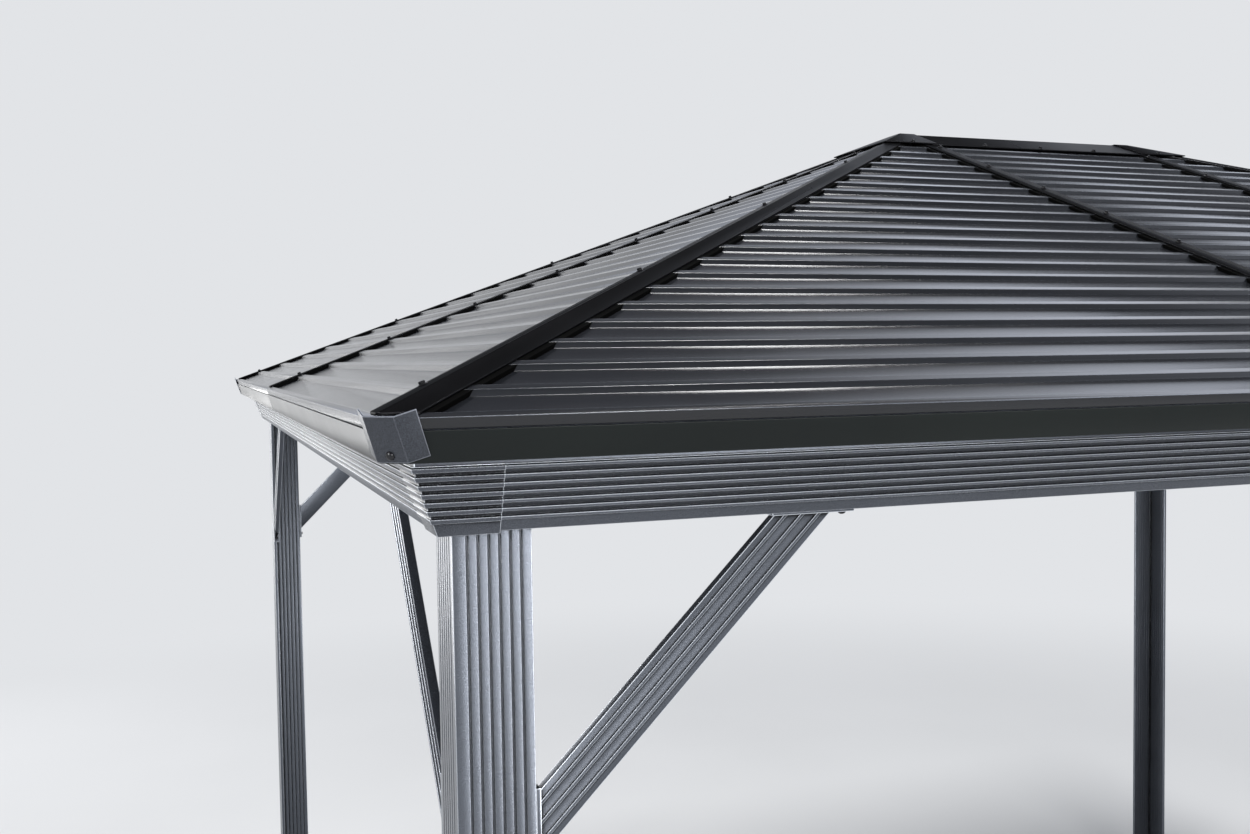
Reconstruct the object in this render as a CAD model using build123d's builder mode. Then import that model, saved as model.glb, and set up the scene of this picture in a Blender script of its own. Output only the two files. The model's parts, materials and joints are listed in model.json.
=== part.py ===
from build123d import *
import math
import os

os.makedirs("parts", exist_ok=True)

# A metal gazebo: four angle posts, braced beams, and a hipped roof of corrugated sheets.
# Millimetres. X runs along the long sides, Y along the short ones, and Z up from the ground under
# the middle of the roof. The same section runs round all four sides, so it is given once, by how
# far out it lies from the posts' outer faces and how high over the underside of the beams.

# Frame
POST_SPAN_X = 3488.0  # over the posts' outer faces, along the front
POST_SPAN_Y = 2858.0  # over the posts' outer faces, along the sides
CLEAR_HEIGHT = 1980.0  # ground to the underside of the beams
SEAT = 0.3  # clearance where one sheet-metal piece lies on another

# Angle posts
POST_LEG = 85.0
POST_WALL = 8.0
FLUTE_COUNT = 6
FLUTE_PITCH = 11.5
FLUTE_START = 16.0  # outer corner to the middle of the first flute
FLUTE_WIDTH = 3.4
FLUTE_DEPTH = 1.3
BEAD_WIDTH = 4.5  # outer corner to the groove that sets off its bead

# Foot plates
FOOT_SIZE = 160.0
FOOT_WALL = 5.0
FOOT_MARGIN = 15.0  # plate beyond the post's outer faces
FOOT_CHAMFER = 8.0
ANCHOR_COUNT = 2  # in a line along X
ANCHOR_SPACING = 85.0
ANCHOR_RADIUS = 5.5

# Diagonal braces
BRACE_REACH = 288.0  # from the post's free edge, and from the beam, to the brace's upper edge
BRACE_WIDTH = 50.0
BRACE_DEPTH = 12.0
BRACE_SETBACK = 1.5  # brace behind the post's outer face
BRACE_RIB_COUNT = 3
BRACE_RIB_PITCH = 15.0
BRACE_RIB_WIDTH = 5.0
BRACE_RIB_HEIGHT = 1.4
BRACE_RIB_FLANK = 60.0  # degrees
PAD_WALL = 5.0  # plates that close the brace's two ends
PAD_DEPTH = 15.0
PAD_LEAD = 8.0  # plate before the brace's upper edge
PAD_TAB = 25.0  # plate past the brace's lower edge

# Beams, with ribs up a face that leans out
BEAM_INNER = 30.0  # inner face behind the posts' outer faces
BEAM_TOP = 109.0
BEAM_FACE_BOTTOM = 20.0  # how far out the ribs stand at the underside
BEAM_FACE_TOP = 48.0  # how far out they stand at the top rib
BEAM_FACE_HEIGHT = 71.0
BEAM_BACK = 45.0  # upright face behind the fascia
RIB_COUNT = 7
RIB_WIDTH = 5.6
RIB_HEIGHT = 2.0
RIB_FLANK = 1.2  # run of a rib's sloping side
RIB_PLAIN = 8.9  # plain band under the lowest rib

# Sleeves that wrap the beams' corners
SLEEVE_REACH = 47.0  # past the post's outer corner, along each side
SLEEVE_DROP = 3.0  # below the beam
SLEEVE_WALL = 1.0

# Fascias, in two lengths a side
FASCIA_BOTTOM = 77.0
FASCIA_BOTTOM_OUT = 78.9
FASCIA_TOP_OUT = 89.9
FASCIA_WALL = 2.0
FASCIA_JOINT = 1.5

# Folded caps over the fascias' corners, which are cut off at 45 degrees
CAP_FACET = 34.0  # width of the middle face
CAP_FLANGE = 21.5
CAP_LENGTH = 50.5
CAP_WALL = 2.0
CAP_BOTTOM = 72.3  # on the line where the fascias would meet, uncut

# Roof plane: the underside of the sheets' valleys
EAVE_OUT = 90.0
EAVE_HEIGHT = 115.0
ROOF_RISE = 588.0

# Corrugated sheets
SHEET_WALL = 1.0
WAVE_PITCH = 67.0
WAVE_DEPTH = 6.0
WAVE_CREST = 12.0
WAVE_FLANK = 5.0
SHEET_GAP = 3.0  # sheet edge to the hip or the seam
RIDGE_CUT = 30.0  # sheet edge to the ridge

# Bars over the joints between sheets, and the ridge pieces over those
COVER_WALL = 2.5
HIP_COVER_WIDTH = 58.0
SEAM_COVER_WIDTH = 40.0
COVER_START = 62.0  # from the end of the ridge
COVER_END = 86.0  # lower end, out from the posts
CAPPING_WALL = 2.0
CAPPING_REACH = 124.0  # to each side of the ridge, in plan
CAPPING_FLAT = 25.0  # half the width of the flat along the ridge
HOOD_LAP = 15.0  # end hood over the ridge cap

# Rafters under the sheets
RAFTER_WIDTH = 30.0
RAFTER_DEPTH = 40.0
RAFTER_END = 43.0
RIDGE_BEAM_WIDTH = 40.0
RIDGE_DEPTH = 70.0
HUB_SIDES = 8
HUB_REACH = 50.0  # middle of a ridge connector to its faces

# Lengths that follow
BEAM_REACH_X = POST_SPAN_X / 2
BEAM_REACH_Y = POST_SPAN_Y / 2
ROOF_RUN = BEAM_REACH_Y + EAVE_OUT
ROOF_PITCH = math.atan2(ROOF_RISE, ROOF_RUN)
RIDGE_HALF = BEAM_REACH_X - BEAM_REACH_Y  # all four slopes have one pitch
RIDGE_HEIGHT = CLEAR_HEIGHT + EAVE_HEIGHT + ROOF_RISE
CONNECTOR_END = RIDGE_HALF - RAFTER_WIDTH / 2  # the ridge beam runs up to here
SHEET_TOP = SHEET_WALL + WAVE_DEPTH
FASCIA_CANT = (FASCIA_TOP_OUT - FASCIA_BOTTOM_OUT) / (BEAM_TOP - FASCIA_BOTTOM)
CAP_HALF_ANGLE = math.atan(math.sqrt(1 + 2 * FASCIA_CANT**2))  # its diagonal to either fascia
CAP_DEPTH = CAP_FACET / 2 / math.tan(CAP_HALF_ANGLE)  # the fascias' mitre to the middle face
FAR = POST_SPAN_X + POST_SPAN_Y  # longer than any piece, for cuts

UP = Vector(0, 0, 1)
SIDES = {  # the way out, and the distances from the middle to the side and to its corners
    "front": (Vector(0, -1, 0), BEAM_REACH_Y, BEAM_REACH_X),
    "back": (Vector(0, 1, 0), BEAM_REACH_Y, BEAM_REACH_X),
    "left": (Vector(-1, 0, 0), BEAM_REACH_X, BEAM_REACH_Y),
    "right": (Vector(1, 0, 0), BEAM_REACH_X, BEAM_REACH_Y),
}
CORNERS = {  # signs of the corner, and the way in along one of its sides
    "front_left": (-1, -1, Vector(1, 0, 0)),
    "front_right": (1, -1, Vector(0, 1, 0)),
    "back_right": (1, 1, Vector(-1, 0, 0)),
    "back_left": (-1, 1, Vector(0, -1, 0)),
}


def save(piece, name):
    """Label a finished piece and write it out."""
    piece.part.label = name
    export_step(piece.part, f"parts/{name}.step")


def side_plane(side, along=0.0):
    """Plane across a side: x points out from the posts' outer faces, y up from the beam."""
    outward, reach, _ = SIDES[side]
    across = outward.cross(UP)
    origin = outward * reach + across * along + UP * CLEAR_HEIGHT
    return Plane(origin=origin, x_dir=outward, z_dir=across)


def mitre_plane(side, end, clearance=0.0):
    """Upright plane of a corner's mitre, facing away from the side."""
    outward, reach, half = SIDES[side]
    along = outward.cross(UP) * end
    normal = (along - outward).normalized()
    return Plane(origin=outward * reach + along * half - normal * clearance, z_dir=normal)


def corner_plane(corner, height):
    """Level plane at a post's outer corner, with both axes running in along the sides."""
    sign_x, sign_y, inward = CORNERS[corner]
    origin = (sign_x * BEAM_REACH_X, sign_y * BEAM_REACH_Y, height)
    return Plane(origin=origin, x_dir=inward, z_dir=UP)


def diagonal_plane(corner):
    """Upright plane through a corner and the end of the ridge."""
    level = corner_plane(corner, 0)
    return Plane(origin=level.origin, z_dir=level.x_dir - level.y_dir)


def cap_plane(corner):
    """Plane square to a cap's folds at its foot: y points in from the fascias' mitre."""
    level = corner_plane(corner, CLEAR_HEIGHT + CAP_BOTTOM)
    out = FASCIA_BOTTOM_OUT + FASCIA_CANT * (CAP_BOTTOM - FASCIA_BOTTOM)
    fold = UP - (level.x_dir + level.y_dir) * FASCIA_CANT
    origin = level.from_local_coords((-out, -out, 0))
    return Plane(origin=origin, x_dir=level.x_dir - level.y_dir, z_dir=fold)


def facet_plane(corner):
    """Leaning plane that cuts a corner off at 45 degrees, facing in."""
    folds = cap_plane(corner)
    return Plane(origin=folds.from_local_coords((0, CAP_DEPTH, 0)), z_dir=folds.y_dir)


def corner_at(side, end):
    """Name of the corner at one end of a side."""
    outward = SIDES[side][0]
    way = outward + outward.cross(UP) * end
    return ("front" if way.Y < 0 else "back") + ("_left" if way.X < 0 else "_right")


# Posts: a fluted leg along one side, mirrored into the other
def flutes(positions, depth_way):
    for position in positions:
        with Locations(position):
            Polygon(
                (-FLUTE_WIDTH / 2, 0),
                (FLUTE_WIDTH / 2, 0),
                (0, depth_way * FLUTE_DEPTH),
                align=None,
                mode=Mode.SUBTRACT,
            )


def post(corner):
    level = corner_plane(corner, FOOT_WALL)
    stations = [FLUTE_START + FLUTE_PITCH * number for number in range(FLUTE_COUNT)]
    with BuildPart() as piece:
        with BuildSketch(level):
            Rectangle(POST_LEG, POST_WALL, align=(Align.MIN, Align.MIN))
            flutes([(x, 0) for x in [BEAD_WIDTH] + stations], 1)
            flutes([(x, POST_WALL) for x in stations], -1)
            mirror(about=Plane(origin=(0, 0, 0), z_dir=(1, -1, 0)))
        extrude(amount=CLEAR_HEIGHT - FOOT_WALL)
    return piece


for corner in CORNERS:
    save(post(corner), f"post_{corner}")


# Foot plates with anchor holes inside the angle of each post
with BuildPart() as foot_plates:
    with BuildSketch():
        apart = 2 * FOOT_MARGIN - FOOT_SIZE
        with GridLocations(POST_SPAN_X + apart, POST_SPAN_Y + apart, 2, 2):
            Rectangle(FOOT_SIZE, FOOT_SIZE)
            with GridLocations(ANCHOR_SPACING, 0, ANCHOR_COUNT, 1):
                Circle(ANCHOR_RADIUS, mode=Mode.SUBTRACT)
    extrude(amount=FOOT_WALL)
    upright = foot_plates.edges().filter_by(Axis.Z).filter_by(GeomType.LINE)
    chamfer(upright, FOOT_CHAMFER)
save(foot_plates, "foot_plates")


# Beams and the sleeves over their corners share one ribbed, leaning face
def ribbed_face(standoff, below, above):
    """Points up the beam's ribbed face, or up a face that stands off it all the way."""
    foot = Vector(BEAM_FACE_BOTTOM, 0)
    face = Vector(BEAM_FACE_TOP, BEAM_FACE_HEIGHT) - foot
    way_up = face.normalized()
    way_out = Vector(way_up.Y, -way_up.X)
    pitch = (face.length - RIB_PLAIN) / RIB_COUNT
    spread = standoff * math.tan(math.atan2(RIB_HEIGHT, RIB_FLANK) / 2)
    flat = foot + way_out * (standoff - RIB_HEIGHT)
    crest = way_out * RIB_HEIGHT
    points = [flat - way_up * ((flat.Y + below) / way_up.Y)]
    for number in range(RIB_COUNT):
        stop = RIB_PLAIN + pitch * (number + 1) - RIB_FLANK + spread
        start = stop - RIB_WIDTH - 2 * spread
        points += [
            flat + way_up * start,
            flat + way_up * (start + RIB_FLANK) + crest,
            flat + way_up * (stop - RIB_FLANK) + crest,
            flat + way_up * stop,
        ]
    points.append(flat + way_up * ((BEAM_FACE_HEIGHT + above - flat.Y) / way_up.Y))
    return points


def beam(side):
    half = SIDES[side][2]
    with BuildPart() as piece:
        with BuildSketch(side_plane(side)):
            with BuildLine():
                face = ribbed_face(0, 0, 0)
                corners = [(BEAM_BACK, BEAM_FACE_HEIGHT), (BEAM_BACK, BEAM_TOP)]
                corners += [(-BEAM_INNER, BEAM_TOP), (-BEAM_INNER, 0)]
                Polyline(*face, *corners, close=True)
            make_face()
        extrude(amount=half + BEAM_BACK + BEAM_FACE_TOP, both=True)
        for end in (1, -1):
            split(bisect_by=mitre_plane(side, end), keep=Keep.BOTTOM)
    return piece


for side in SIDES:
    save(beam(side), f"{side}_beam")


def leg_plane(corner):
    """Section plane across the side that leaves a corner along its first axis."""
    level = corner_plane(corner, CLEAR_HEIGHT)
    return Plane(origin=level.origin, x_dir=-level.y_dir, z_dir=-level.x_dir)


def sleeve(corner):
    """Ribbed shell over the beams' corner: one leg, mirrored into the other."""
    with BuildPart() as piece:
        with BuildSketch(leg_plane(corner).offset(-SLEEVE_REACH)):
            with BuildLine():
                inner = ribbed_face(SEAT, SLEEVE_DROP, SEAT)
                outer = ribbed_face(SEAT + SLEEVE_WALL, SLEEVE_DROP, SEAT)
                Polyline(*inner, *reversed(outer), close=True)
            make_face()
        extrude(amount=SLEEVE_REACH + BEAM_FACE_TOP + BEAM_BACK)
        split(bisect_by=diagonal_plane(corner), keep=Keep.TOP)
        mirror(about=diagonal_plane(corner))
    return piece


sleeves = [sleeve(corner).part for corner in CORNERS]
with BuildPart() as corner_sleeves:
    add(sleeves)
save(corner_sleeves, "corner_sleeves")


# Braces at 45 degrees between a post's free edge and the beam
def brace_section():
    """Ribbed bar: x runs across it from its upper edge, y out from the side."""
    Rectangle(BRACE_WIDTH, BRACE_DEPTH, align=(Align.MIN, Align.MAX))
    with Locations((BRACE_WIDTH / 2, 0)):
        with GridLocations(BRACE_RIB_PITCH, 0, BRACE_RIB_COUNT, 1):
            Trapezoid(
                BRACE_RIB_WIDTH,
                BRACE_RIB_HEIGHT,
                BRACE_RIB_FLANK,
                align=(Align.CENTER, Align.MIN),
            )


def braces(side):
    """Both braces of a side, each with a plate at the post and one at the beam."""
    outward, _, half = SIDES[side]
    along = outward.cross(UP)
    mid_face = side_plane(side).origin
    edge = half - POST_LEG
    middle = mid_face + along * (edge - BRACE_REACH / 2) - UP * (BRACE_REACH / 2)
    across = (-along - UP).normalized()
    section = Plane(
        origin=middle - outward * (BRACE_SETBACK + BRACE_RIB_HEIGHT),
        x_dir=across,
        z_dir=across.cross(outward),
    )
    pad_start = BRACE_REACH - PAD_LEAD
    pad_length = PAD_LEAD + BRACE_WIDTH * math.sqrt(2) + PAD_TAB
    with BuildPart() as piece:
        with BuildSketch(section):
            brace_section()
        extrude(amount=BRACE_REACH + BRACE_WIDTH, both=True)
        split(bisect_by=Plane(origin=mid_face - UP * PAD_WALL, z_dir=UP), keep=Keep.BOTTOM)
        post_face = mid_face + along * (edge - PAD_WALL)
        split(bisect_by=Plane(origin=post_face, z_dir=along), keep=Keep.BOTTOM)
        with BuildSketch(Plane(origin=mid_face + along * edge, x_dir=-along, z_dir=-outward)):
            with Locations((pad_start, 0)):
                Rectangle(pad_length, PAD_WALL, align=(Align.MIN, Align.MIN))
            with Locations((0, pad_start)):
                Rectangle(PAD_WALL, pad_length, align=(Align.MIN, Align.MIN))
        extrude(amount=PAD_DEPTH)
        mirror(about=Plane(origin=(0, 0, 0), z_dir=along))
    return piece


for side in SIDES:
    save(braces(side), f"{side}_braces")


# Fascias: folded plates in front of the beams' upright faces, with a joint at mid side
def fascia(side):
    half = SIDES[side][2]
    across = side_plane(side).z_dir
    wall_out = FASCIA_WALL * math.sqrt(1 + FASCIA_CANT**2)
    inner_top_out = FASCIA_TOP_OUT - FASCIA_CANT * FASCIA_WALL - wall_out
    inner_bottom_out = FASCIA_BOTTOM_OUT + FASCIA_CANT * FASCIA_WALL - wall_out
    back = BEAM_BACK + SEAT
    with BuildPart() as piece:
        with BuildSketch(side_plane(side, FASCIA_JOINT / 2)):
            with BuildLine():
                Polyline(
                    (back, FASCIA_BOTTOM),
                    (FASCIA_BOTTOM_OUT, FASCIA_BOTTOM),
                    (FASCIA_TOP_OUT, BEAM_TOP),
                    (back, BEAM_TOP),
                    (back, BEAM_TOP - FASCIA_WALL),
                    (inner_top_out, BEAM_TOP - FASCIA_WALL),
                    (inner_bottom_out, FASCIA_BOTTOM + FASCIA_WALL),
                    (back, FASCIA_BOTTOM + FASCIA_WALL),
                    close=True,
                )
            make_face()
        extrude(amount=half + FASCIA_TOP_OUT)
        split(bisect_by=mitre_plane(side, 1), keep=Keep.BOTTOM)
        split(bisect_by=facet_plane(corner_at(side, 1)), keep=Keep.TOP)
        mirror(about=Plane(origin=(0, 0, 0), z_dir=across))
    return piece


for side in SIDES:
    save(fascia(side), f"{side}_fascia")


# Corner caps: a middle face across the cut corner, folded back onto both fascias
def cap_outline(standoff):
    """Points across a cap that stands off the corner: flange end, both folds, flange end."""
    turn = math.pi / 2 - CAP_HALF_ANGLE
    fold = Vector(CAP_FACET / 2, CAP_DEPTH)
    end = fold + Vector(math.cos(turn), math.sin(turn)) * CAP_FLANGE
    fold += Vector(math.tan(turn / 2), -1) * standoff
    end += Vector(math.sin(turn), -math.cos(turn)) * standoff
    return [(-end.X, end.Y), (-fold.X, fold.Y), (fold.X, fold.Y), (end.X, end.Y)]


def corner_cap(corner):
    with BuildPart() as piece:
        with BuildSketch(cap_plane(corner)):
            with BuildLine():
                inner = cap_outline(SEAT)
                outer = cap_outline(SEAT + CAP_WALL)
                Polyline(*inner, *reversed(outer), close=True)
            make_face()
        extrude(amount=CAP_LENGTH)
    return piece


for corner in CORNERS:
    save(corner_cap(corner), f"corner_cap_{corner}")


# Roof sheets: a corrugated section up the slope, cut off at the hips, the corners and the ridge
def slope_plane(side, along):
    """Section plane across a slope at its eave: x up the slope, y square to it, z back along."""
    section = side_plane(side, along)
    way_up = UP * math.sin(ROOF_PITCH) - section.x_dir * math.cos(ROOF_PITCH)
    origin = section.origin + section.x_dir * EAVE_OUT + UP * EAVE_HEIGHT
    return Plane(origin=origin, x_dir=way_up, z_dir=way_up.cross(UP).normalized())


def wave_points(level):
    """Points up one face of the sheet, level above the undersides of its valleys."""
    slope = math.hypot(ROOF_RUN, ROOF_RISE)
    crest = level + WAVE_DEPTH
    points = []
    for number in range(math.ceil(slope / WAVE_PITCH) + 1):
        start = number * WAVE_PITCH
        points += [
            (start, crest),
            (start + WAVE_CREST, crest),
            (start + WAVE_CREST + WAVE_FLANK, level),
            (start + WAVE_PITCH - WAVE_FLANK, level),
        ]
    return points


def roof_sheet(side, start, stop):
    """A sheet from start to stop along its side, cut where it meets a hip or the ridge."""
    outward, reach, half = SIDES[side]
    ridge_reach = reach - BEAM_REACH_Y + RIDGE_CUT
    lip = (EAVE_HEIGHT - BEAM_TOP - SEAT) / math.cos(ROOF_PITCH)
    with BuildPart() as piece:
        with BuildSketch(slope_plane(side, stop)):
            with BuildLine():
                top = wave_points(SHEET_WALL)
                under = [(SHEET_WALL, WAVE_DEPTH)] + wave_points(0)[1:]
                Polyline((0, -lip), *top, *reversed(under), (SHEET_WALL, -lip), close=True)
            make_face()
        extrude(amount=stop - start)
        for end in (1, -1):
            if end * (stop if end > 0 else start) > half - POST_LEG:
                split(bisect_by=mitre_plane(side, end, SHEET_GAP), keep=Keep.BOTTOM)
                split(bisect_by=facet_plane(corner_at(side, end)), keep=Keep.TOP)
        split(bisect_by=Plane(origin=outward * ridge_reach, z_dir=outward), keep=Keep.TOP)
    return piece


long_edge = BEAM_REACH_X + EAVE_OUT
short_edge = BEAM_REACH_Y + EAVE_OUT
middle_edge = RIDGE_HALF - SHEET_GAP / 2
seam = RIDGE_HALF + SHEET_GAP / 2
for side, first, last in (("front", "right", "left"), ("back", "left", "right")):
    save(roof_sheet(side, -long_edge, -seam), f"roof_sheet_{side}_{first}")
    save(roof_sheet(side, -middle_edge, middle_edge), f"roof_sheet_{side}_middle")
    save(roof_sheet(side, seam, long_edge), f"roof_sheet_{side}_{last}")
for side, first, last in (("left", "front", "back"), ("right", "back", "front")):
    save(roof_sheet(side, -short_edge, -SHEET_GAP / 2), f"roof_sheet_{side}_{first}")
    save(roof_sheet(side, SHEET_GAP / 2, short_edge), f"roof_sheet_{side}_{last}")


# Everything else on the roof lies in a hipped layer at some level over the valleys' undersides
def hip_block(level, flat=0.0):
    """Hipped solid under the roof plane, raised by level square to its slopes.

    The ridge may be cut off to a flat, which reaches this far to each side of it.
    """
    apex = RIDGE_HEIGHT + level / math.cos(ROOF_PITCH)
    run = (apex - CLEAR_HEIGHT) / math.tan(ROOF_PITCH)
    hip_top = apex + RIDGE_HALF * math.tan(ROOF_PITCH)
    with BuildPart() as piece:
        with BuildSketch(Plane.YZ):
            with BuildLine():
                Polyline((-run, CLEAR_HEIGHT), (run, CLEAR_HEIGHT), (0, apex), close=True)
            make_face()
        extrude(amount=FAR, both=True)
        with BuildSketch(Plane.XZ):
            with BuildLine():
                far_run = run + RIDGE_HALF
                Polyline((-far_run, CLEAR_HEIGHT), (far_run, CLEAR_HEIGHT), (0, hip_top), close=True)
            make_face()
        extrude(amount=FAR, both=True, mode=Mode.INTERSECT)
        if flat:
            split(bisect_by=Plane.XY.offset(apex - flat * math.tan(ROOF_PITCH)), keep=Keep.BOTTOM)
    return piece.part


def hip_layer(bottom, top, flat=0.0):
    """Hipped shell between two levels."""
    upper, lower = hip_block(top, flat), hip_block(bottom, flat)
    with BuildPart() as piece:
        add(upper)
        add(lower, mode=Mode.SUBTRACT)
    return piece.part


def hub_outline(reach, mode=Mode.ADD):
    """Regular outline with a side square to each strip that leaves the end of the ridge."""
    turn = 180 / HUB_SIDES
    RegularPolygon(reach, HUB_SIDES, major_radius=False, rotation=turn, mode=mode)


def strips(rays, width, start, reach):
    """Plan of strips that leave the ends of the ridge, from start to the eave."""
    with BuildSketch(Plane.XY.offset(CLEAR_HEIGHT)) as plan:
        for end, angle in rays:
            with Locations((end * RIDGE_HALF, 0)):
                Rectangle(FAR, width, rotation=angle, align=(Align.MIN, Align.CENTER))
        Rectangle(2 * (BEAM_REACH_X + reach), 2 * (BEAM_REACH_Y + reach), mode=Mode.INTERSECT)
        with Locations((-RIDGE_HALF, 0), (RIDGE_HALF, 0)):
            hub_outline(start, mode=Mode.SUBTRACT)
    return plan.sketch


HIP_RAYS = {
    "front_left": (-1, 225),
    "front_right": (1, 315),
    "back_right": (1, 45),
    "back_left": (-1, 135),
}
SEAM_RAYS = [(-1, 90), (-1, 180), (-1, 270), (1, 270), (1, 0), (1, 90)]
ROOF_ROOM = EAVE_HEIGHT + ROOF_RISE + CAPPING_REACH  # taller than anything on the roof

# Bars over the hips and the seams, on the crests of the sheets
cover_level = SHEET_TOP + SEAT
cover_layer = hip_layer(cover_level, cover_level + COVER_WALL)
for corner, ray in HIP_RAYS.items():
    with BuildPart() as hip_cover:
        extrude(strips([ray], HIP_COVER_WIDTH, COVER_START, COVER_END), amount=ROOF_ROOM)
        add(cover_layer, mode=Mode.INTERSECT)
        split(bisect_by=facet_plane(corner), keep=Keep.TOP)
    save(hip_cover, f"hip_cover_{corner}")

with BuildPart() as seam_covers:
    extrude(strips(SEAM_RAYS, SEAM_COVER_WIDTH, COVER_START, COVER_END), amount=ROOF_ROOM)
    add(cover_layer, mode=Mode.INTERSECT)
save(seam_covers, "seam_covers")

# Ridge cap over the seam bars, and a hood lapped over each of its ends
cap_level = cover_level + COVER_WALL + SEAT
cap_layer = hip_layer(cap_level, cap_level + CAPPING_WALL, CAPPING_FLAT)
with BuildPart() as ridge_cap:
    with BuildSketch(Plane.XY.offset(CLEAR_HEIGHT)):
        Rectangle(2 * (RIDGE_HALF - SHEET_GAP), 2 * CAPPING_REACH)
    extrude(amount=ROOF_ROOM)
    add(cap_layer, mode=Mode.INTERSECT)
save(ridge_cap, "ridge_cap")

hood_level = cap_level + CAPPING_WALL + SEAT
hood_layer = hip_layer(hood_level, hood_level + CAPPING_WALL, CAPPING_FLAT)
for name, end in (("left", -1), ("right", 1)):
    with BuildPart() as hood:
        with BuildSketch(Plane.XY.offset(CLEAR_HEIGHT)):
            with Locations((end * (RIDGE_HALF - HOOD_LAP), 0)):
                hood_align = Align.MIN if end > 0 else Align.MAX
                Rectangle(
                    HOOD_LAP + CAPPING_REACH, 2 * CAPPING_REACH, align=(hood_align, Align.CENTER)
                )
        extrude(amount=ROOF_ROOM)
        add(hood_layer, mode=Mode.INTERSECT)
    save(hood, f"ridge_end_{name}")

# Rafters under the sheets, from the ridge connectors down to seats on the beams
rafter_layer = hip_layer(-SEAT - RAFTER_DEPTH, -SEAT)


def rafters(rays):
    with BuildPart() as piece:
        extrude(strips(rays, RAFTER_WIDTH, HUB_REACH + SEAT, RAFTER_END), amount=ROOF_ROOM)
        add(rafter_layer, mode=Mode.INTERSECT)
        with BuildSketch(Plane.XY.offset(CLEAR_HEIGHT)):
            Rectangle(2 * (BEAM_REACH_X + BEAM_BACK), 2 * (BEAM_REACH_Y + BEAM_BACK))
            inner = BEAM_INNER + SEAT
            Rectangle(2 * (BEAM_REACH_X - inner), 2 * (BEAM_REACH_Y - inner), mode=Mode.SUBTRACT)
        extrude(amount=BEAM_TOP, mode=Mode.SUBTRACT)
    return piece


save(rafters(HIP_RAYS.values()), "hip_rafters")
save(rafters(SEAM_RAYS), "seam_rafters")

under_sheets = hip_block(-SEAT)
ridge_foot = Plane.XY.offset(RIDGE_HEIGHT - RIDGE_DEPTH)
with BuildPart() as ridge_beam:
    with BuildSketch(ridge_foot):
        Rectangle(2 * (CONNECTOR_END - SEAT), RIDGE_BEAM_WIDTH)
    extrude(amount=RIDGE_DEPTH)
    add(under_sheets, mode=Mode.INTERSECT)
save(ridge_beam, "ridge_beam")

with BuildPart() as ridge_connectors:
    with BuildSketch(ridge_foot):
        with Locations((-RIDGE_HALF, 0), (RIDGE_HALF, 0)):
            hub_outline(HUB_REACH)
        Rectangle(2 * CONNECTOR_END, 2 * HUB_REACH, mode=Mode.SUBTRACT)
    extrude(amount=RIDGE_DEPTH)
    add(under_sheets, mode=Mode.INTERSECT)
save(ridge_connectors, "ridge_connectors")
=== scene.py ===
"""Looks for the metal gazebo: rounded edges, coats with painted edge highlights and groove shade, screws,
bolts, and closure strips that are partly painted shade.
"""
import json
import math

import bmesh
import bpy
from mathutils import Matrix, Vector


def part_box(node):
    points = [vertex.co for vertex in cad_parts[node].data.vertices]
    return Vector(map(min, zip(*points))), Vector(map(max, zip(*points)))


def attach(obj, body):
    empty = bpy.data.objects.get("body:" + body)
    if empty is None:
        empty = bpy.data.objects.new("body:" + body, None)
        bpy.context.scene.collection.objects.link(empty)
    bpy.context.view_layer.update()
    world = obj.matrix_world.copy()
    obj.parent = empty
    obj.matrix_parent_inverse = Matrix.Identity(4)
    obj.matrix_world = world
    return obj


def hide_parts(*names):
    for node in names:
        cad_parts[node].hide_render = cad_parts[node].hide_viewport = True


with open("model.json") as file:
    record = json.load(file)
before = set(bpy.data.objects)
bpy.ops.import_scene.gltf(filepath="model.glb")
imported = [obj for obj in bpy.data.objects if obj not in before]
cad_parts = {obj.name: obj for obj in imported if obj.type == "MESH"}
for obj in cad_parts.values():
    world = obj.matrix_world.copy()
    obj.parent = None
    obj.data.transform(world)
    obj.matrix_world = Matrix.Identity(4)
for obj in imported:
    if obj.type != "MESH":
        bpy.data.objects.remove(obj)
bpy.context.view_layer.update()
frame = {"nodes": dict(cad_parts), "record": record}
SCENE = bpy.context.scene

# Camera: the photograph's viewing angle, from a perspective fit to the model's edges
FOCAL_PX = 1253.3
PICTURE_WIDTH_PX = 1250.0
SENSOR_WIDTH_MM = 36.0
CAMERA_AT = Vector((-1.9998, -2.6957, 2.1553))
YAW, PITCH, ROLL = (math.radians(angle) for angle in (19.42, 2.719, 0.859))
NEAREST, FARTHEST = 0.05, 400.0  # what the camera sees, in metres from it

# Sizes in metres that the added pieces are set out by
POST_LOW, POST_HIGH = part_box("post_front_left")
REACH_X, REACH_Y = -POST_LOW.x, -POST_LOW.y  # middle to the posts' outer faces
POST_LEG = POST_HIGH.x - POST_LOW.x
CLEAR = POST_HIGH.z  # underside of the beams
EAVE_OUT, EAVE_UP = 0.090, 0.115  # roof plane's edge, from the posts' faces and the beams' underside
ROOF_RISE = 0.588
ROOF_RUN = REACH_Y + EAVE_OUT
ROOF_PITCH = math.atan2(ROOF_RISE, ROOF_RUN)
RIDGE_HALF = REACH_X - REACH_Y
SHEET_WALL = 0.001
WAVE_COUNT = 24  # corrugations up a slope
WAVE_PITCH, WAVE_CREST, WAVE_FLANK, WAVE_DEPTH = 0.067, 0.012, 0.005, 0.006
HIP_COVER_HALF, SEAM_COVER_HALF = 0.029, 0.020
COVER_START = 0.062  # upper ends of the covers, in plan from the end of the ridge
COVER_LIMIT = (ROOF_RUN - COVER_START) / math.cos(ROOF_PITCH)
CAPPING_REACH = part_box("ridge_cap")[1].y
COVER_TOP, CAPPING_TOP, HOOD_TOP = 0.0098, 0.0121, 0.0144  # over the roof plane

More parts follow.
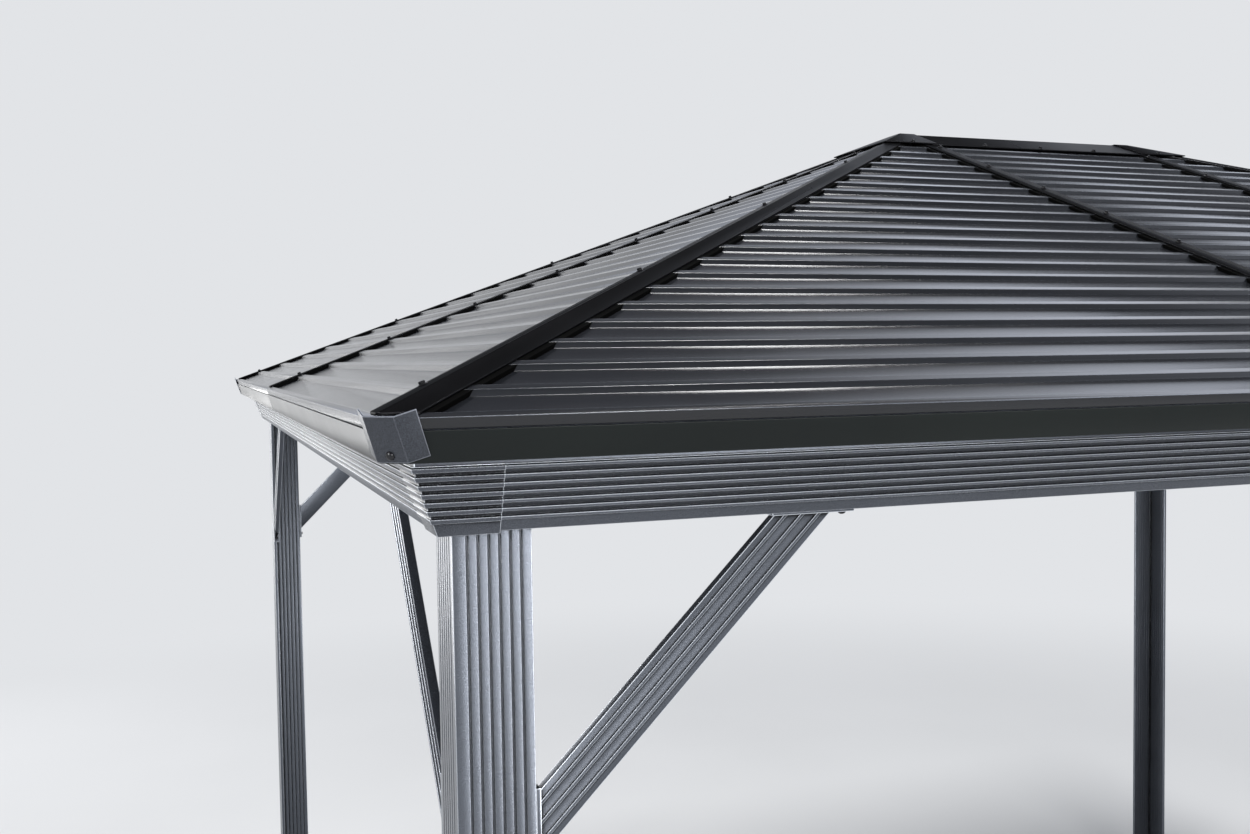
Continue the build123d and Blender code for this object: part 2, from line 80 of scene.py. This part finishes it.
UP = Vector((0, 0, 1))
SIDES = {  # the way out, and the distances from the middle to the side and to its corners
    "front": (Vector((0, -1, 0)), REACH_Y, REACH_X),
    "back": (Vector((0, 1, 0)), REACH_Y, REACH_X),
    "left": (Vector((-1, 0, 0)), REACH_X, REACH_Y),
    "right": (Vector((1, 0, 0)), REACH_X, REACH_Y),
}
LONG_SIDES = ("front", "back")
SIGNS = (-1, 1)


# Materials
def fill_ramp(ramp, stops):
    """Puts stops, in rising order, on a new ramp, so that no move changes their order."""
    ramp.elements[1].position, ramp.elements[1].color = stops[-1][0], (*stops[-1][1], 1.0)
    ramp.elements[0].position, ramp.elements[0].color = stops[0][0], (*stops[0][1], 1.0)
    for at, colour in stops[1:-1]:
        ramp.elements.new(at).color = (*colour, 1.0)


class Nodes:
    """A new material's node tree, with short names for the nodes that the coats use."""

    def __init__(self, name):
        self.material = bpy.data.materials.new(name)
        self.material.use_nodes = True
        self.tree = self.material.node_tree
        self.shader = self.tree.nodes["Principled BSDF"]
        self.place = self.tree.nodes.new("ShaderNodeTexCoord").outputs["Object"]

    def link(self, output, node, name):
        self.tree.links.new(output, node.inputs[name])

    def noise(self, scale, detail, roughness=0.5):
        node = self.tree.nodes.new("ShaderNodeTexNoise")
        node.inputs["Scale"].default_value = scale
        node.inputs["Detail"].default_value = detail
        node.inputs["Roughness"].default_value = roughness
        self.link(self.place, node, "Vector")
        return node.outputs["Fac"]

    def ramp(self, value, *stops):
        """Greys or colours by a value."""
        node = self.tree.nodes.new("ShaderNodeValToRGB")
        fill_ramp(node.color_ramp, [(at, c if isinstance(c, tuple) else (c, c, c)) for at, c in stops])
        self.link(value, node, "Fac")
        return node.outputs["Color"]

    def mix(self, kind, factor, base, colour):
        """Mixes a colour into a base. Each of the three is a value or another node's output."""
        node = self.tree.nodes.new("ShaderNodeMix")
        node.data_type = "RGBA"
        node.blend_type = kind
        first, second = (socket for socket in node.inputs if socket.type == "RGBA")
        for value, socket in ((factor, node.inputs[0]), (base, first), (colour, second)):
            if isinstance(value, bpy.types.NodeSocket):
                self.tree.links.new(value, socket)
            else:
                socket.default_value = value
        return next(socket for socket in node.outputs if socket.type == "RGBA")

    def reach(self, distance, inside):
        """1 in the open, falling in grooves, or at outer edges when it looks inside."""
        node = self.tree.nodes.new("ShaderNodeAmbientOcclusion")
        node.samples = 8
        node.only_local = True
        node.inside = inside
        node.inputs["Distance"].default_value = distance
        return node.outputs["AO"]

    def bump(self, height, strength, distance):
        node = self.tree.nodes.new("ShaderNodeBump")
        node.inputs["Strength"].default_value = strength
        node.inputs["Distance"].default_value = distance
        self.link(height, node, "Height")
        self.link(node.outputs["Normal"], self.shader, "Normal")

    def finish(self, **values):
        """Sets the shader's sockets that are the same all over, and gives the material."""
        for name, value in values.items():
            self.shader.inputs[name.replace("_", " ")].default_value = value
        return self.material


def hammered(name, colour, spread, roughness, metallic, edge, groove_shade):
    """Powder coat with a fine hammered speckle, a painted highlight along the edges and painted shade in the
    grooves.
    """
    n = Nodes(name)
    fine = n.noise(1300.0, 2.0, 0.6)
    dark = tuple(c * (1 - spread) for c in colour)
    light = tuple(c * (1 + spread) for c in colour)
    speckle = n.ramp(fine, (0.34, dark), (0.66, light))
    shade = n.ramp(n.noise(5.0, 3.0, 0.55), (0.3, 0.88), (0.7, 1.0))
    # Painted shade: the colour darkens in grooves and hollows, down to the groove shade value at their
    # bottoms.
    painted_groove_shade = n.ramp(n.reach(0.012, inside=False), (0.84, groove_shade), (1.0, 1.0))
    # Painted highlight: the colour turns light along every outer edge, where light would catch it.
    painted_edge_highlight = n.ramp(n.reach(0.00095, inside=True), (0.78, 1.0), (0.98, 0.0))
    coat = n.mix("MULTIPLY", 1.0, n.mix("MULTIPLY", 1.0, speckle, shade), painted_groove_shade)
    n.link(n.mix("MIX", painted_edge_highlight, coat, (*edge, 1.0)), n.shader, "Base Color")
    n.link(n.ramp(fine, (0.3, roughness + 0.06), (0.7, roughness - 0.06)), n.shader, "Roughness")
    n.bump(fine, strength=0.20, distance=0.0003)
    return n.finish(Metallic=metallic, Specular_IOR_Level=0.5)


def baked(name, colour, lighter, roughness, specular=0.5, metallic=0.0, tint=1.0, edge=None):
    """Smooth baked coat with faint handling marks and a slight waviness, and a painted highlight along its
    outer edges when an edge colour is given.
    """
    n = Nodes(name)
    broad = n.noise(2.2, 4.0, 0.55)
    coat = n.ramp(broad, (0.3, colour), (0.72, lighter))
    if edge:
        # Painted highlight: a light line in the edge colour along every outer edge.
        painted_edge_highlight = n.ramp(n.reach(0.0005, inside=True), (0.72, 1.0), (0.96, 0.0))
        coat = n.mix("MIX", painted_edge_highlight, coat, (*edge, 1.0))
    n.link(coat, n.shader, "Base Color")
    n.link(n.ramp(broad, (0.25, roughness - 0.04), (0.75, roughness + 0.06)), n.shader, "Roughness")
    n.bump(n.noise(60.0, 2.0), strength=0.02, distance=0.0006)
    return n.finish(Metallic=metallic, Specular_IOR_Level=specular, Specular_Tint=(tint, tint, tint, 1.0))


# Each edge colour is a painted highlight along the outer edges; each groove shade value is painted shade in
# the grooves.
MATERIALS = {
    "frame": hammered("frame_coat", (0.124, 0.135, 0.157), spread=0.30, roughness=0.30, metallic=0.80,
                      edge=(0.80, 0.84, 0.90), groove_shade=0.08),
    "sleeve": hammered("sleeve_coat", (0.095, 0.103, 0.120), spread=0.30, roughness=0.28, metallic=0.85,
                       edge=(0.65, 0.68, 0.73), groove_shade=0.02),
    "cap": hammered("cap_coat", (0.046, 0.051, 0.062), spread=0.55, roughness=0.38, metallic=0.55,
                    edge=(0.34, 0.36, 0.41), groove_shade=0.2),
    "fascia": baked("fascia_coat", (0.008, 0.010, 0.010), (0.011, 0.014, 0.013), roughness=0.34,
                    specular=0.15, edge=(0.10, 0.11, 0.11)),
    "trim": baked("cover_coat", (0.011, 0.011, 0.012), (0.016, 0.016, 0.0175), roughness=0.30,
                  specular=0.2, metallic=0.9, tint=0.15, edge=(0.14, 0.14, 0.145)),
    "roof": baked("sheet_coat", (0.010, 0.0109, 0.0130), (0.014, 0.0152, 0.0182), roughness=0.17,
                  specular=0.42, edge=(0.52, 0.56, 0.66)),
    "rafter": baked("rafter_coat", (0.040, 0.043, 0.048), (0.058, 0.062, 0.068), roughness=0.45),
    "screw": baked("screw_coat", (0.010, 0.010, 0.011), (0.016, 0.016, 0.018), roughness=0.35,
                   specular=0.3, metallic=0.3, tint=0.3),
    "dome": baked("dome_coat", (0.006, 0.006, 0.008), (0.009, 0.009, 0.011), roughness=0.12, specular=0.4),
    "bolt": baked("bolt_zinc", (0.150, 0.155, 0.165), (0.210, 0.215, 0.225), roughness=0.28,
                  metallic=0.85),
    # Near black, also painted shade: the foam stands for the dark shadows under and beside the covers.
    "closure_and_shade": baked("closure_foam_and_painted_shade", (0.003, 0.003, 0.003), (0.005, 0.005, 0.005), roughness=0.90,
                     specular=0.0),
}

# Pieces that stand for CAD nodes: the same mesh with its flat faces joined and its edges rounded
BEVELS = {  # width and segments by a word of the node's name, of which the first that fits counts
    "roof_sheet": (0.0012, 3), "post": (0.0006, 2), "beam": (0.0006, 2), "sleeve": (0.0004, 2),
    "braces": (0.0005, 2), "cover": (0.0008, 2), "ridge": (0.0006, 2), "cap": (0.0005, 2),
    "fascia": (0.0007, 2), "rafters": (0.0015, 2), "foot": (0.0010, 2),
}
ROUNDED_FROM = math.radians(20)  # edges that turn by less stay as they are
SAME_POINT = 1e-6
SAME_PLANE = math.radians(0.5)


def round_edges(piece, width, segments):
    piece.data.shade_smooth()
    bevel = piece.modifiers.new("bevel", "BEVEL")
    bevel.width = width
    bevel.segments = segments
    bevel.limit_method = "ANGLE"
    bevel.angle_limit = ROUNDED_FROM
    bevel.harden_normals = True
    graph = bpy.context.evaluated_depsgraph_get()
    result = bpy.data.meshes.new_from_object(piece.evaluated_get(graph))
    piece.modifiers.clear()
    piece.data = result


def dress(name, slot):
    """Replaces a CAD node by a rounded and coated copy of itself."""
    mesh = frame["nodes"][name].data.copy()
    bm = bmesh.new()
    bm.from_mesh(mesh)
    bmesh.ops.remove_doubles(bm, verts=bm.verts, dist=SAME_POINT)
    bmesh.ops.dissolve_limit(bm, angle_limit=SAME_PLANE, verts=bm.verts, edges=bm.edges)
    bm.to_mesh(mesh)
    bm.free()
    piece = bpy.data.objects.new(f"{name}_skin", mesh)
    SCENE.collection.objects.link(piece)
    round_edges(piece, *next(bevel for word, bevel in BEVELS.items() if word in name))
    piece.data.materials.clear()
    piece.data.materials.append(MATERIALS["sleeve" if "sleeve" in name else slot])
    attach(piece, "root")
    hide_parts(name)


# Added pieces
class Shape:
    """All pieces of one kind, gathered into one mesh."""

    def __init__(self, name, material, rounding=0.0003):
        self.name, self.material, self.rounding = name, material, rounding
        self.verts, self.faces = [], []

    def rings(self, place, rings):
        """Skin over closed rings of points, filled at both ends."""
        first = len(self.verts)
        count = len(rings[0])
        self.verts += [place @ Vector(p) for ring in rings for p in ring]
        for r in range(len(rings) - 1):
            low = first + r * count
            for i in range(count):
                j = (i + 1) % count
                self.faces.append((low + i, low + j, low + count + j, low + count + i))
        self.faces.append(tuple(first + i for i in reversed(range(count))))
        self.faces.append(tuple(first + (len(rings) - 1) * count + i for i in range(count)))

    def lathe(self, place, sides, profile):
        """Solid round z, from a profile of radii and heights."""
        turns = [2 * math.pi * i / sides for i in range(sides)]
        self.rings(place, [[(r * math.cos(t), r * math.sin(t), z) for t in turns] for r, z in profile])

    def prism(self, place, outline, start, stop):
        """Solid along z, from an outline across it."""
        self.rings(place, [[(x, y, z) for x, y in outline] for z in (start, stop)])

    def build(self):
        mesh = bpy.data.meshes.new(self.name)
        mesh.from_pydata(self.verts, [], self.faces)
        bm = bmesh.new()
        bm.from_mesh(mesh)
        bmesh.ops.recalc_face_normals(bm, faces=bm.faces)
        bm.to_mesh(mesh)
        bm.free()
        piece = bpy.data.objects.new(self.name, mesh)
        SCENE.collection.objects.link(piece)
        round_edges(piece, self.rounding, 2)
        piece.data.materials.append(MATERIALS[self.material])
        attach(piece, "root")


def placed(origin, x, z):
    """Placement at a point, with its x and z axes along the two vectors given."""
    x, z = x.normalized(), z.normalized()
    return Matrix.Translation(origin) @ Matrix((x, z.cross(x), z)).transposed().to_4x4()


def slope(side):
    """Middle of a slope's lower edge, and its ways along, up and square to the roof plane."""
    outward, reach, _ = SIDES[side]
    along = outward.cross(UP)
    way_up = UP * math.sin(ROOF_PITCH) - outward * math.cos(ROOF_PITCH)
    origin = outward * (reach + EAVE_OUT) + UP * (CLEAR + EAVE_UP)
    return origin, along, way_up, way_up.cross(along)


def on_slope(side, across, up, level):
    """Placement across from a slope's middle, up from its eave and above the roof plane."""
    origin, along, way_up, square = slope(side)
    return placed(origin + along * across + way_up * up + square * level, way_up, square)


def hip_at(side, up):
    """Half the length of a slope at a distance up it."""
    return SIDES[side][2] + EAVE_OUT - up * math.cos(ROOF_PITCH)


def seams(side):
    """Where the joints between a slope's sheets are, along it."""
    return (-RIDGE_HALF, RIDGE_HALF) if side in LONG_SIDES else (0.0,)


# Screws
SCREW_STEP = 3  # crests from one screw to the next
SCREWS_END = 0.08  # no screw nearer to a cover's upper end
SEAM_SCREW_OFF = 0.011  # from the seam
HIP_SCREW_OFF = 0.018  # from the hip, square to it in plan
CAPPING_SCREWS = (-0.36, -0.16, 0.0, 0.16, 0.36)  # along the ridge, the outer two on the hoods
CAPPING_SCREW_IN = 0.014  # from the ridge cap's lower edges, in plan


def hex_screw(shape, place):
    """Sealing washer and hexagonal head."""
    shape.lathe(place, 14, [(0.0056, 0.0), (0.0056, 0.0007), (0.0046, 0.0013)])
    shape.lathe(place, 6, [(0.0037, 0.0009), (0.0037, 0.0038), (0.0030, 0.0045)])


def add_cover_screws():
    """Screws along the seam and hip covers and along both edges of the ridge cap."""
    screws = Shape("cover_screws", "screw")
    for side in SIDES:
        for crest in range(1, WAVE_COUNT, SCREW_STEP):
            up = crest * WAVE_PITCH + WAVE_CREST / 2
            if up > COVER_LIMIT - SCREWS_END:
                continue
            spots = [seam - math.copysign(SEAM_SCREW_OFF, seam) for seam in seams(side)]
            if side not in LONG_SIDES and crest % 2:
                spots += [sign * (hip_at(side, up) - HIP_SCREW_OFF * math.sqrt(2)) for sign in SIGNS]
            for spot in spots:
                hex_screw(screws, on_slope(side, spot, up, COVER_TOP))
        if side in LONG_SIDES:
            up = (ROOF_RUN - CAPPING_REACH + CAPPING_SCREW_IN) / math.cos(ROOF_PITCH)
            for spot in CAPPING_SCREWS:
                level = HOOD_TOP if abs(spot) > RIDGE_HALF else CAPPING_TOP
                hex_screw(screws, on_slope(side, spot, up, level))
    screws.build()


# Closure strips, black and run out past the covers' edges as painted shadows of the covers
STRIP_UNDER, STRIP_OVER, STRIP_BESIDE = 0.0002, 0.0001, 0.0003  # gaps to the sheet and the cover
STRIPS_END = 0.02  # no strip nearer to a cover's upper end
SEAM_STRIP_START = 0.010  # from the seam, under the cover
SEAM_STRIP_OUT = 0.010  # past the seam cover's edge, a painted shadow of the cover
HIP_STRIP_IN, HIP_STRIP_OUT = 0.014, 0.006  # to both sides of the hip cover's edge, along the side; the part outside is a painted shadow of the cover


def add_closures_and_painted_shade():
    """Closure strips that fill the valleys under the covers' edges, black and run out past them as painted
    shadows of the covers.
    """
    closures_and_shade = Shape("closure_strips_and_painted_shade", "closure_and_shade", rounding=0.0002)
    low, high = SHEET_WALL + STRIP_UNDER, SHEET_WALL + WAVE_DEPTH - STRIP_OVER
    for side in SIDES:
        origin, along, way_up, _ = slope(side)
        place = placed(origin, way_up, -along)
        for valley in range(WAVE_COUNT):
            start = valley * WAVE_PITCH + WAVE_CREST
            stop = (valley + 1) * WAVE_PITCH
            if (start + stop) / 2 > COVER_LIMIT - STRIPS_END:
                continue
            outline = [(start + WAVE_FLANK, low), (stop - WAVE_FLANK, low),
                       (stop - STRIP_BESIDE, high), (start + STRIP_BESIDE, high)]
            hip_edges = [hip_at(side, x) - HIP_COVER_HALF * math.sqrt(2) for x, _ in outline]
            for sign in SIGNS:
                for seam in seams(side):
                    inner = -seam - sign * SEAM_STRIP_START
                    outer = -seam - sign * (SEAM_COVER_HALF + SEAM_STRIP_OUT)
                    closures_and_shade.prism(place, outline, inner, outer)
                closures_and_shade.rings(place, [
                    [(x, y, -sign * (edge + out)) for (x, y), edge in zip(outline, hip_edges)]
                    for out in (HIP_STRIP_IN, -HIP_STRIP_OUT)])
    closures_and_shade.build()


# Bolts
FASCIA_LEAN = 0.011 / 0.032  # run outward over rise
FASCIA_FOOT_OUT, FASCIA_FOOT_UP = 0.0789, 0.077  # from the posts' faces and the beams' underside
CAP_FOOT_UP = 0.0723  # from the beams' underside
CAP_FACE_HALF = 0.017  # half the width of a corner cap's middle face
CAP_SKIN = 0.0023  # from a fascia out to the cap's outer face
CAP_BOLT_UP = 0.008  # from the cap's foot
PLATE_BOLT = 0.3715  # bolt in a brace's plate, from the beam or from the post's free edge
PLATE_MIDDLE, PLATE_WALL = 0.0075, 0.005  # middle of a plate behind the post's face, and its thickness


def dome_bolt(shape, place):
    profile = [(0.0048, 0.0), (0.0048, 0.0008), (0.0042, 0.0020), (0.0028, 0.0031), (0.0010, 0.0036)]
    shape.lathe(place, 18, profile)


def ground_anchor(shape, place):
    """Washer, nut and the end of the stud."""
    shape.lathe(place, 24, [(0.0100, 0.0), (0.0100, 0.0018)])
    shape.lathe(place, 6, [(0.0092, 0.0018), (0.0092, 0.0078), (0.0080, 0.0088)])
    shape.lathe(place, 14, [(0.0046, 0.0088), (0.0046, 0.0130), (0.0038, 0.0142)])


def add_dome_bolts():
    """A bolt in each corner cap, and one in each of the braces' plates."""
    domes = Shape("dome_bolts", "dome")
    foot_out = FASCIA_FOOT_OUT + FASCIA_LEAN * (CAP_FOOT_UP - FASCIA_FOOT_UP)
    depth = CAP_FACE_HALF / math.sqrt(1 + 2 * FASCIA_LEAN**2) - CAP_SKIN
    for sign_x in SIGNS:
        for sign_y in SIGNS:
            foot = Vector((sign_x * (REACH_X + foot_out), sign_y * (REACH_Y + foot_out), CLEAR + CAP_FOOT_UP))
            fold = Vector((sign_x * FASCIA_LEAN, sign_y * FASCIA_LEAN, 1)).normalized()
            inward = Vector((-sign_x, -sign_y, 2 * FASCIA_LEAN)).normalized()
            dome_bolt(domes, placed(foot + inward * depth + fold * CAP_BOLT_UP, fold, -inward))
    for outward, reach, half in SIDES.values():
        along = outward.cross(UP)
        middle = outward * (reach - PLATE_MIDDLE)
        for sign in SIGNS:
            edge = half - POST_LEG
            on_post = middle + along * sign * (edge - PLATE_WALL) + UP * (CLEAR - PLATE_BOLT)
            on_beam = middle + along * sign * (edge - PLATE_BOLT) + UP * (CLEAR - PLATE_WALL)
            dome_bolt(domes, placed(on_post, UP, along * -sign))
            dome_bolt(domes, placed(on_beam, along, -UP))
    domes.build()


def add_ground_anchors():
    """An anchor in each hole of the foot plates, where the record has its bolt patterns."""
    anchors = Shape("foot_anchors", "bolt")
    for mount in frame["record"]["mounts"]:
        if mount["kind"] == "bolt_pattern":
            for sign in SIGNS:
                offset = Vector((sign * mount["dims"]["spacing_x_mm"] / 2000, 0, 0))
                ground_anchor(anchors, placed(Vector(mount["pos_m"]) + offset, Vector((1, 0, 0)), UP))
    anchors.build()


# Camera, floor, light and world
BACKGROUND = (0.760, 0.775, 0.800)
FLOOR_HALF = 150.0
FADE_START, FADE_END = 2.2, 8.0  # the floor turns into the background between these distances
SKY = (  # background by the sine of its angle above the horizon: a bright and a dark band between pale ones
    (0.28, BACKGROUND), (0.38, (1.30, 1.38, 1.58)), (0.50, (1.25, 1.33, 1.52)), (0.57, (0.66, 0.70, 0.79)),
    (0.65, (0.10, 0.105, 0.12)), (0.85, (0.10, 0.105, 0.12)), (1.0, BACKGROUND),
)
SOFT_LIGHT, SOFT_STRENGTH = (0.86, 0.90, 0.97), 0.50


def add_camera():
    forward = Vector((math.sin(YAW) * math.cos(PITCH), math.cos(YAW) * math.cos(PITCH), -math.sin(PITCH)))
    level = Vector((math.cos(YAW), -math.sin(YAW), 0.0))
    down = forward.cross(level)
    right = level * math.cos(ROLL) + down * math.sin(ROLL)
    low = down * math.cos(ROLL) - level * math.sin(ROLL)
    data = bpy.data.cameras.new("camera")
    data.sensor_width = SENSOR_WIDTH_MM
    data.lens = FOCAL_PX / PICTURE_WIDTH_PX * SENSOR_WIDTH_MM
    data.clip_start = NEAREST
    data.clip_end = FARTHEST
    camera = bpy.data.objects.new("camera", data)
    turn = Matrix((right, -low, -forward)).transposed()
    camera.matrix_world = Matrix.Translation(CAMERA_AT) @ turn.to_4x4()
    SCENE.collection.objects.link(camera)
    SCENE.camera = camera


def stage_material():
    """Pale floor that turns into the background's colour far from the gazebo."""
    n = Nodes("pale_floor")
    n.link(n.ramp(n.noise(0.8, 2.0), (0.3, 0.64), (0.7, 0.67)), n.shader, "Base Color")
    n.finish(Roughness=0.9, Specular_IOR_Level=0.2)
    far = n.tree.nodes.new("ShaderNodeEmission")
    far.inputs["Color"].default_value = (*BACKGROUND, 1.0)
    distance = n.tree.nodes.new("ShaderNodeVectorMath")
    distance.operation = "LENGTH"
    n.link(n.place, distance, "Vector")
    fade = n.tree.nodes.new("ShaderNodeMapRange")
    fade.interpolation_type = "SMOOTHSTEP"
    fade.inputs["From Min"].default_value = FADE_START
    fade.inputs["From Max"].default_value = FADE_END
    n.link(distance.outputs["Value"], fade, "Value")
    mix = n.tree.nodes.new("ShaderNodeMixShader")
    n.link(fade.outputs["Result"], mix, 0)
    n.link(n.shader.outputs[0], mix, 1)
    n.link(far.outputs[0], mix, 2)
    n.link(mix.outputs[0], n.tree.nodes["Material Output"], "Surface")
    return n.material


def add_stage():
    corners = [(-FLOOR_HALF, -FLOOR_HALF, 0), (FLOOR_HALF, -FLOOR_HALF, 0),
               (FLOOR_HALF, FLOOR_HALF, 0), (-FLOOR_HALF, FLOOR_HALF, 0)]
    mesh = bpy.data.meshes.new("floor")
    mesh.from_pydata(corners, [], [(0, 1, 2, 3)])
    mesh.materials.append(stage_material())
    floor = bpy.data.objects.new("floor", mesh)
    SCENE.collection.objects.link(floor)


def area_light(name, at, aim, size, power):
    """Rectangular light that the camera doesn't see."""
    data = bpy.data.lights.new(name, "AREA")
    data.shape = "RECTANGLE"
    data.size, data.size_y = size
    data.energy = power
    light = bpy.data.objects.new(name, data)
    light.location = at
    light.visible_camera = False
    light.rotation_euler = (Vector(aim) - Vector(at)).to_track_quat("-Z", "Y").to_euler()
    SCENE.collection.objects.link(light)


def add_lights():
    area_light("left", (-6.6, -3.4, 4.4), aim=(-1.7, -1.0, 1.9), size=(2.2, 3.4), power=220.0)
    area_light("back_left", (-4.4, 6.5, 2.3), aim=(-1.7, -1.0, 1.6), size=(2.4, 3.4), power=130.0)
    area_light("front", (-0.5, -6.4, 2.8), aim=(-1.7, -1.4, 1.8), size=(2.4, 3.6), power=150.0)
    area_light("top", (0.8, -0.4, 7.5), aim=(0.0, 0.0, 2.5), size=(3.6, 0.9), power=420.0)


def add_world():
    """The background to the camera and in reflections, and an even soft light elsewhere."""
    world = bpy.data.worlds.new("world")
    SCENE.world = world
    world.use_nodes = True
    tree = world.node_tree
    place = tree.nodes.new("ShaderNodeTexCoord")
    height = tree.nodes.new("ShaderNodeSeparateXYZ")
    tree.links.new(place.outputs["Generated"], height.inputs[0])
    sky = tree.nodes.new("ShaderNodeValToRGB")
    fill_ramp(sky.color_ramp, SKY)
    tree.links.new(height.outputs["Z"], sky.inputs["Fac"])
    seen = tree.nodes["Background"]
    seen.inputs["Strength"].default_value = 1.0
    tree.links.new(sky.outputs["Color"], seen.inputs["Color"])
    soft = tree.nodes.new("ShaderNodeBackground")
    soft.inputs["Color"].default_value = (*SOFT_LIGHT, 1.0)
    soft.inputs["Strength"].default_value = SOFT_STRENGTH
    path = tree.nodes.new("ShaderNodeLightPath")
    total = path.outputs["Is Camera Ray"]
    for other in ("Is Glossy Ray", "Is Transmission Ray"):
        add = tree.nodes.new("ShaderNodeMath")
        add.operation = "ADD"
        add.use_clamp = True
        tree.links.new(total, add.inputs[0])
        tree.links.new(path.outputs[other], add.inputs[1])
        total = add.outputs[0]
    mix = tree.nodes.new("ShaderNodeMixShader")
    tree.links.new(total, mix.inputs[0])
    tree.links.new(soft.outputs[0], mix.inputs[1])
    tree.links.new(seen.outputs[0], mix.inputs[2])
    tree.links.new(mix.outputs[0], tree.nodes["World Output"].inputs["Surface"])


for row in frame["record"]["subparts"]:
    dress(row["node"], row["material_slot"])
add_cover_screws()
add_closures_and_painted_shade()
add_dome_bolts()
add_ground_anchors()
add_camera()
add_stage()
add_world()
add_lights()
SCENE.view_settings.view_transform = "Standard"
